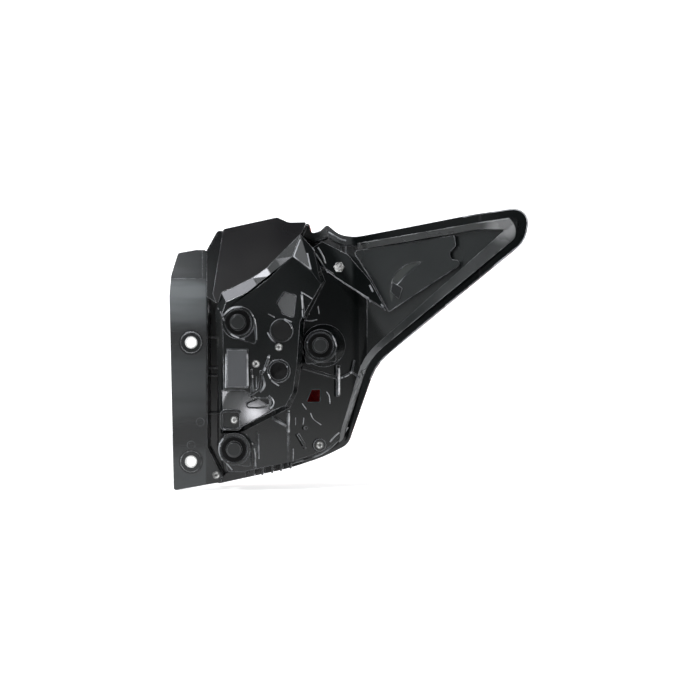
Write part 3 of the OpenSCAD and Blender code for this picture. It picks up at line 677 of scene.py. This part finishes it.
def rubber_black():
    """Dark rubber of the seals and the breather's cap."""
    return moulded("rubber_black", (0.005, 0.005, 0.005), (0.010, 0.010, 0.010), (0.4, 0.55), 0.15)


def sealant():
    """Dull bead between lens and housing."""
    return moulded("sealant", (0.008, 0.008, 0.008), (0.014, 0.014, 0.014), (0.4, 0.6), 0.2)


def holder_grey():
    """Bulb holders: black flanges round a greyer grip, with a painted highlight along their edges."""
    g = Graph("holder_grey")
    x, _, z = g.axes()
    grip = g.fold("MAXIMUM", (g.range(g.far(x, z, middle_x, middle_z), radius, radius - GRIP_EDGE, 0, 1)
                              for middle_x, middle_z, radius in HOLDER_GRIPS))
    cloud = g.noise(*CLOUD)
    rounded_normal = g.soft_edges()
    tone = g.blend(grip, g.tones(cloud, (0.002, 0.002, 0.002), (0.005, 0.005, 0.005)),
                   g.tones(cloud, (0.014, 0.015, 0.015), (0.022, 0.023, 0.023)))
    # Pale edges: painted highlight.
    tone = g.blend(g.edge(rounded_normal), tone, g.sparkle((0.20, 0.205, 0.21)))
    return g.set(Base_Color=tone, Roughness=g.gloss(cloud, 0.16, 0.24),
                 Specular_IOR_Level=g.range(grip, 0, 1, 0.08, 0.28), Normal=g.grained(rounded_normal))


def rib_finish():
    """Fine ribs: gloss whose colour breaks into pale runs of painted highlight."""
    g = Graph("rib")
    return g.set(Base_Color=g.sparkle((0.50, 0.51, 0.53)), Roughness=g.gloss(g.noise(60), 0.10, 0.22),
                 Specular_IOR_Level=0.6, Normal=g.bump(g.noise(900, 2, 0.5), 0.2, 0.00003))


def ledge_finish():
    """The housing's ledge: grey, with painted light that makes it palest low down and at the wing's tip, a
    painted highlight on its edges, and black beyond its round end.
    """
    g = Graph("ledge")
    x, _, z = g.axes()
    cloud = g.noise(26, 3, 0.5)
    # Painted light: the ledge turns pale low down and round a place at the tip.
    painted_light = g.math("MAXIMUM", g.range(z, *LEDGE_LIGHT_LOW_Z, 0, 1),
                  g.range(g.far(x, z, *TIP_PAINTED_LIGHT), *TIP_PAINTED_LIGHT_REACH, 0, TIP_PAINTED_LIGHT_SHARE))
    tone = g.blend(painted_light, g.tones(cloud, (0.008, 0.010, 0.010), (0.018, 0.020, 0.020)),
                   g.tones(cloud, (0.14, 0.142, 0.142), (0.26, 0.262, 0.262)))
    rounded_normal = g.soft_edges()
    tone = g.blend(g.edge(rounded_normal), tone, g.sparkle((0.40, 0.41, 0.41)))
    middle_x, middle_z, radius = TIP
    beyond = g.times(g.range(g.far(x, z, middle_x, middle_z), radius, radius + TIP_SOFT, 0, 1),
                     g.range(x, *TIP_SIDE, 0, 1))
    return g.set(Base_Color=g.blend(beyond, tone, g.tones(cloud, *GLOSS_BLACK)),
                 Roughness=g.gloss(cloud, 0.24, 0.36),
                 Specular_IOR_Level=g.range(beyond, 0, 1, 0.4, 0.06), Normal=rounded_normal)


def flange_area(g, x, z):
    """1 on the flange, where its grey painted sheen goes, and 0 on the dark rings round its holes."""
    bush = g.range(g.far(x, g.math("ABSOLUTE", z), 0.0, HOLE_Z), *BUSH_RING, 0, 1)
    flange = g.times(g.range(x, *FLANGE_SIDE, 0, 1), g.range(z, *FLANGE_TOP, TOP_SHARE, 1))
    return g.times(flange, g.math("SUBTRACT", 1.0, bush))


def flange_painted_sheen(g, z):
    """Streaky grey painted sheen that changes along the flange."""
    streak = g.noise(34, 3, 0.5, g.place(STREAKS))
    swing = g.range(streak, *STREAK_SPAN, -STREAK_SWING, STREAK_SWING)
    along = g.math("ADD", g.range(z, *FLANGE_Z, 0, 1, "LINEAR"), swing)
    return g.ramp(along, [(spot, tuple(part * tone for part in FLANGE_SHEEN_TINT)) for spot, tone in FLANGE_SHEEN_TONES])


def channel_area(g, x, y):
    """1 on the back of the glue channel, which is farthest from the outer lens."""
    out = g.math("POWER", g.math("ADD", x, -LENS_X / 1000), 2.0)
    up = g.math("POWER", g.math("ADD", y, (LENS_R - LENS_Y) / 1000), 2.0)
    depth = g.math("SUBTRACT", LENS_R / 1000, g.math("SQRT", g.math("ADD", out, up)))
    return g.times(g.range(depth, *CHANNEL_DEPTH, 0, 1), g.range(x, *CHANNEL_SIDE, 0, 1))


def wing_tone(g, x, z, cloud):
    """Matt tone of the wing's floor, with its sickle-shaped painted sheen."""
    (in_x, in_z, in_r), (out_x, out_z, out_r) = SHEEN_IN, SHEEN_OUT
    inside = g.range(g.far(x, z, in_x, in_z), in_r + SHEEN_SOFT, in_r - SHEEN_SOFT, 0, 1)
    outside = g.range(g.far(x, z, out_x, out_z), out_r - SHEEN_SOFT, out_r + SHEEN_SOFT, 0, 1)
    matt = g.ramp(cloud, [(0.25, (0.014, 0.017, 0.017)), (0.75, (0.022, 0.025, 0.025))])
    painted_sheen = g.tones(cloud, (0.052, 0.058, 0.054), (0.066, 0.072, 0.068))
    return g.blend(g.times(inside, outside), matt, painted_sheen)


def edge_painted_highlight(g, x, z):
    """Painted highlight of the housing's edges: brightest at the hot spots."""
    hot = g.fold("MAXIMUM", (g.range(g.far(x, z, middle_x, middle_z), reach, HOT_FULL * reach, 0, 1)
                             for middle_x, middle_z, reach in HIGHLIGHT_SPOTS))
    return g.blend(hot, g.sparkle((0.40, 0.41, 0.43)), g.sparkle((0.95, 0.96, 0.98)))


def housing_black():
    """Glossy black moulding: a grey painted sheen on the flange, a matt grey wing floor with a painted sheen,
    blackest in the glue channel, and a pale painted highlight along edges.
    """
    g = Graph("housing_black")
    x, y, z = g.axes()
    cloud = g.noise(8, 2, 0.5)
    flange = flange_area(g, x, z)
    channel = channel_area(g, x, y)
    wing = g.range(g.math("ADD", x, g.times(z, WING_SLANT)), *WING_START, 0, 1)
    deck = g.times(wing, g.range(channel, 0, 1, DECK_MATT, 0))
    panel = g.times(g.range(g.math("ABSOLUTE", g.math("SUBTRACT", y, PANEL_Y)), *PANEL_NEAR, 0, 1),
                    g.range(z, *PANEL_FOOT, 0, 1))
    marks = g.math("MAXIMUM", *(g.ring(x, z, *mark) for mark in EJECTOR_MARKS))
    tone = g.blend(deck, g.tones(cloud, *GLOSS_BLACK), wing_tone(g, x, z, cloud))
    tone = g.blend(panel, tone, g.tones(cloud, (0.008, 0.008, 0.009), (0.024, 0.023, 0.023)))
    tone = g.blend(flange, tone, flange_painted_sheen(g, z))
    tone = g.blend(g.times(marks, MARK_SHARE), tone, g.sparkle((0.12, 0.125, 0.13)))
    rounded_normal = g.soft_edges()
    tone = g.blend(g.edge(rounded_normal), tone, edge_painted_highlight(g, x, z))
    duller = g.math("ADD", g.times(flange, FLANGE_DULLER), g.times(deck, DECK_DULLER))
    leaned = g.lean(rounded_normal, BAND_FACING, BAND_CROWN)
    return g.set(Base_Color=tone, Roughness=g.math("ADD", g.gloss(cloud, 0.10, 0.15), duller),
                 Specular_IOR_Level=g.range(channel, 0, 1, 0.42, 0.16),
                 Normal=g.crown(leaned, GLARE_MIDDLE, GLARE_REACH, GLARE_FACING, GLARE_CURVE))


def lens_red():
    """Deep red lens plastic."""
    g = Graph("lens_red")
    return g.set(Base_Color=g.tones(g.noise(9), (0.45, 0.006, 0.010), (0.55, 0.010, 0.014)),
                 Roughness=g.gloss(g.noise(40), 0.01, 0.04), Transmission_Weight=0.7, IOR=1.49)


def clear(name):
    """Clear plastic of the lens's clear section or the light guide."""
    g = Graph(name)
    return g.set(Base_Color=g.tones(g.noise(9), (0.86, 0.88, 0.9), (0.93, 0.94, 0.95)),
                 Roughness=g.gloss(g.noise(40), 0.02, 0.06), Transmission_Weight=0.9, IOR=1.49)


def bulb_glass():
    """Clear glass of the stop and reversing bulbs."""
    g = Graph("bulb_glass")
    return g.set(Base_Color=g.tones(g.noise(30), (0.9, 0.9, 0.88), (0.97, 0.97, 0.95)),
                 Roughness=0.02, Transmission_Weight=0.95, IOR=1.5)


def bulb_amber():
    """Amber glass of the turn signal's bulb."""
    g = Graph("bulb_amber")
    return g.set(Base_Color=g.tones(g.noise(30), (0.85, 0.33, 0.03), (0.95, 0.42, 0.05)),
                 Roughness=0.03, Transmission_Weight=0.85, IOR=1.5)


def plated():
    """Bright plating of the reflector."""
    g = Graph("plated")
    return g.set(Base_Color=g.tones(g.noise(20), (0.74, 0.75, 0.77), (0.83, 0.84, 0.86)), Metallic=1.0,
                 Roughness=g.gloss(g.noise(35), 0.05, 0.14), Normal=g.bump(g.noise(120), 0.05, 0.0002))


def zinc_steel():
    """Zinc-plated steel: smooth bushes, a mottled stud, and mottled screws with painted shade on their rims
    and hollows.
    """
    g = Graph("zinc_steel")
    x, _, z = g.axes()
    off = g.fold("MINIMUM", (g.far(x, z, *middle) for middle in SCREWS))
    # The dark rims and hollows of the screws are painted shade.
    rim = g.times(g.range(off, *SCREW_RIM, 0, RIM_SHADE), g.range(off, *SCREW_END, 0, 1))
    hollow_shade = g.range(off, *SCREW_HOLLOW, 0, HOLLOW_SHADE)
    smooth = g.tones(g.noise(260), (0.52, 0.52, 0.50), (0.72, 0.72, 0.70))
    mottled = g.ramp(g.noise(420), [(0.36, (0.13, 0.13, 0.125)), (0.64, (0.74, 0.74, 0.72))])
    shade_tone = g.tones(g.noise(300), (0.03, 0.03, 0.03), (0.08, 0.08, 0.08))
    shaded_screws = g.blend(g.math("MAXIMUM", rim, hollow_shade), mottled, shade_tone)
    return g.set(Base_Color=g.blend(g.range(x, *BUSH_SIDE, 0, 1), smooth, shaded_screws), Metallic=1.0,
                 Roughness=g.gloss(g.noise(500), 0.22, 0.42), Normal=g.bump(g.noise(900), 0.2, 0.00003))


def reflex_red():
    """Reflector block of small cells."""
    g = Graph("reflex_red")
    cells = g.cells(420)
    return g.set(Base_Color=g.ramp(cells, [(0.0, (0.80, 0.05, 0.06)), (0.6, (0.50, 0.02, 0.03))]),
                 Roughness=0.12, Coat_Weight=0.7, Transmission_Weight=0.3, IOR=1.49,
                 Normal=g.bump(cells, 0.6, 0.0006))


def circuit_board():
    """Green circuit board."""
    g = Graph("circuit_board")
    return g.set(Base_Color=g.ramp(g.noise(300), [(0.42, (0.01, 0.06, 0.03)), (0.55, (0.02, 0.12, 0.06))]),
                 Roughness=0.35, Normal=g.bump(g.noise(700), 0.3, 0.0001))


def filter_foam():
    """Dark open foam of the breather."""
    g = Graph("filter_foam")
    cells = g.cells(900)
    return g.set(Base_Color=g.ramp(cells, [(0.0, (0.004, 0.004, 0.004)), (0.7, (0.02, 0.02, 0.02))]),
                 Roughness=0.9, Normal=g.bump(cells, 0.9, 0.0006))


def make_materials():
    """Every finish by the record's slot name, and the two of the added pieces."""
    return {
        "housing_black": housing_black(),
        "black_steel": black_steel(),
        "holder_grey": holder_grey(),
        "cover_grey": cover_grey(),
        "ledge": ledge_finish(),
        "rib": rib_finish(),
        "rubber_black": rubber_black(),
        "sealant": sealant(),
        "lens_red": lens_red(),
        "lens_clear": clear("lens_clear"),
        "clear_plastic": clear("clear_plastic"),
        "bulb_glass": bulb_glass(),
        "bulb_amber": bulb_amber(),
        "plated": plated(),
        "zinc_steel": zinc_steel(),
        "reflex_red": reflex_red(),
        "circuit_board": circuit_board(),
        "filter_foam": filter_foam(),
    }


def dress_nodes(materials):
    """Give every CAD node the finish of its slot."""
    for row in frame["record"]["subparts"]:
        finishes = node(row["node"]).data.materials
        finishes.clear()
        finishes.append(materials[row["material_slot"]])


# Studio

def add_world():
    """The world only lights the object softly."""
    world = bpy.data.worlds.new("studio")
    bpy.context.scene.world = world
    world.use_nodes = True
    soft = world.node_tree.nodes["Background"]
    soft.inputs["Color"].default_value = WORLD_TINT
    soft.inputs["Strength"].default_value = WORLD_LIGHT


def add_sheet(name, front, back, top, white):
    """A paper sheet between the front and back y, which rises to the top at the back."""
    low = CAD_BOUNDS[0][2]
    corners = [(-SHEET_SIDE, front, low), (SHEET_SIDE, front, low), (SHEET_SIDE, back, top),
               (-SHEET_SIDE, back, top)]
    mesh = bpy.data.meshes.new(name)
    mesh.from_pydata(corners, [], [(0, 1, 2, 3)])
    sheet = bpy.data.objects.new(name, mesh)
    bpy.context.scene.collection.objects.link(sheet)
    mesh.materials.append(paper(name, white))


def add_studio():
    """Soft world, pale floor and white backdrop."""
    bpy.context.scene.view_settings.view_transform = "Standard"
    add_world()
    add_sheet("floor", FLOOR_FRONT, BACKDROP_Y, CAD_BOUNDS[0][2], FLOOR_WHITE)
    add_sheet("backdrop", BACKDROP_Y, BACKDROP_Y, BACKDROP_TOP, BACKDROP_WHITE)


def paper(name, white):
    """Pale paper that the camera, gloss and glass see as white, and clear from behind."""
    g = Graph(name)
    path = g.add("LightPath")
    seen = g.fold("MAXIMUM", (path.outputs[kind] for kind in ("Is Camera Ray", "Is Glossy Ray",
                                                              "Is Transmission Ray")))
    g.set(Base_Color=PAPER, Roughness=0.9, Specular_IOR_Level=0.0,
          Emission_Color=(1, 1, 1, 1), Emission_Strength=g.times(seen, white))
    either = g.add("MixShader")
    g.link(g.add("NewGeometry").outputs["Backfacing"], either.inputs["Fac"])
    g.link(g.shader.outputs["BSDF"], either.inputs[1])
    g.link(g.add("BsdfTransparent").outputs["BSDF"], either.inputs[2])
    g.link(either.outputs["Shader"], g.tree.nodes["Material Output"].inputs["Surface"])
    return g.material


def add_lamp(name, place, aim, size, power, colour):
    """A rectangular lamp that looks at its aim and isn't seen itself."""
    data = bpy.data.lights.new(name, "AREA")
    data.shape = "RECTANGLE"
    data.size, data.size_y = size
    data.energy = power
    data.color = colour
    obj = bpy.data.objects.new(name, data)
    obj.location = place
    obj.rotation_euler = (Vector(aim) - Vector(place)).to_track_quat("-Z", "Y").to_euler()
    obj.visible_camera = False
    bpy.context.scene.collection.objects.link(obj)


add_camera()
MATERIALS = make_materials()
dress_nodes(MATERIALS)
add_dish_wall()
for name, runs in RIBS:
    add_ribs(name, runs)
add_ribs("rim_line", [rim_run()])
add_studio()
for lamp in LAMPS:
    add_lamp(*lamp)
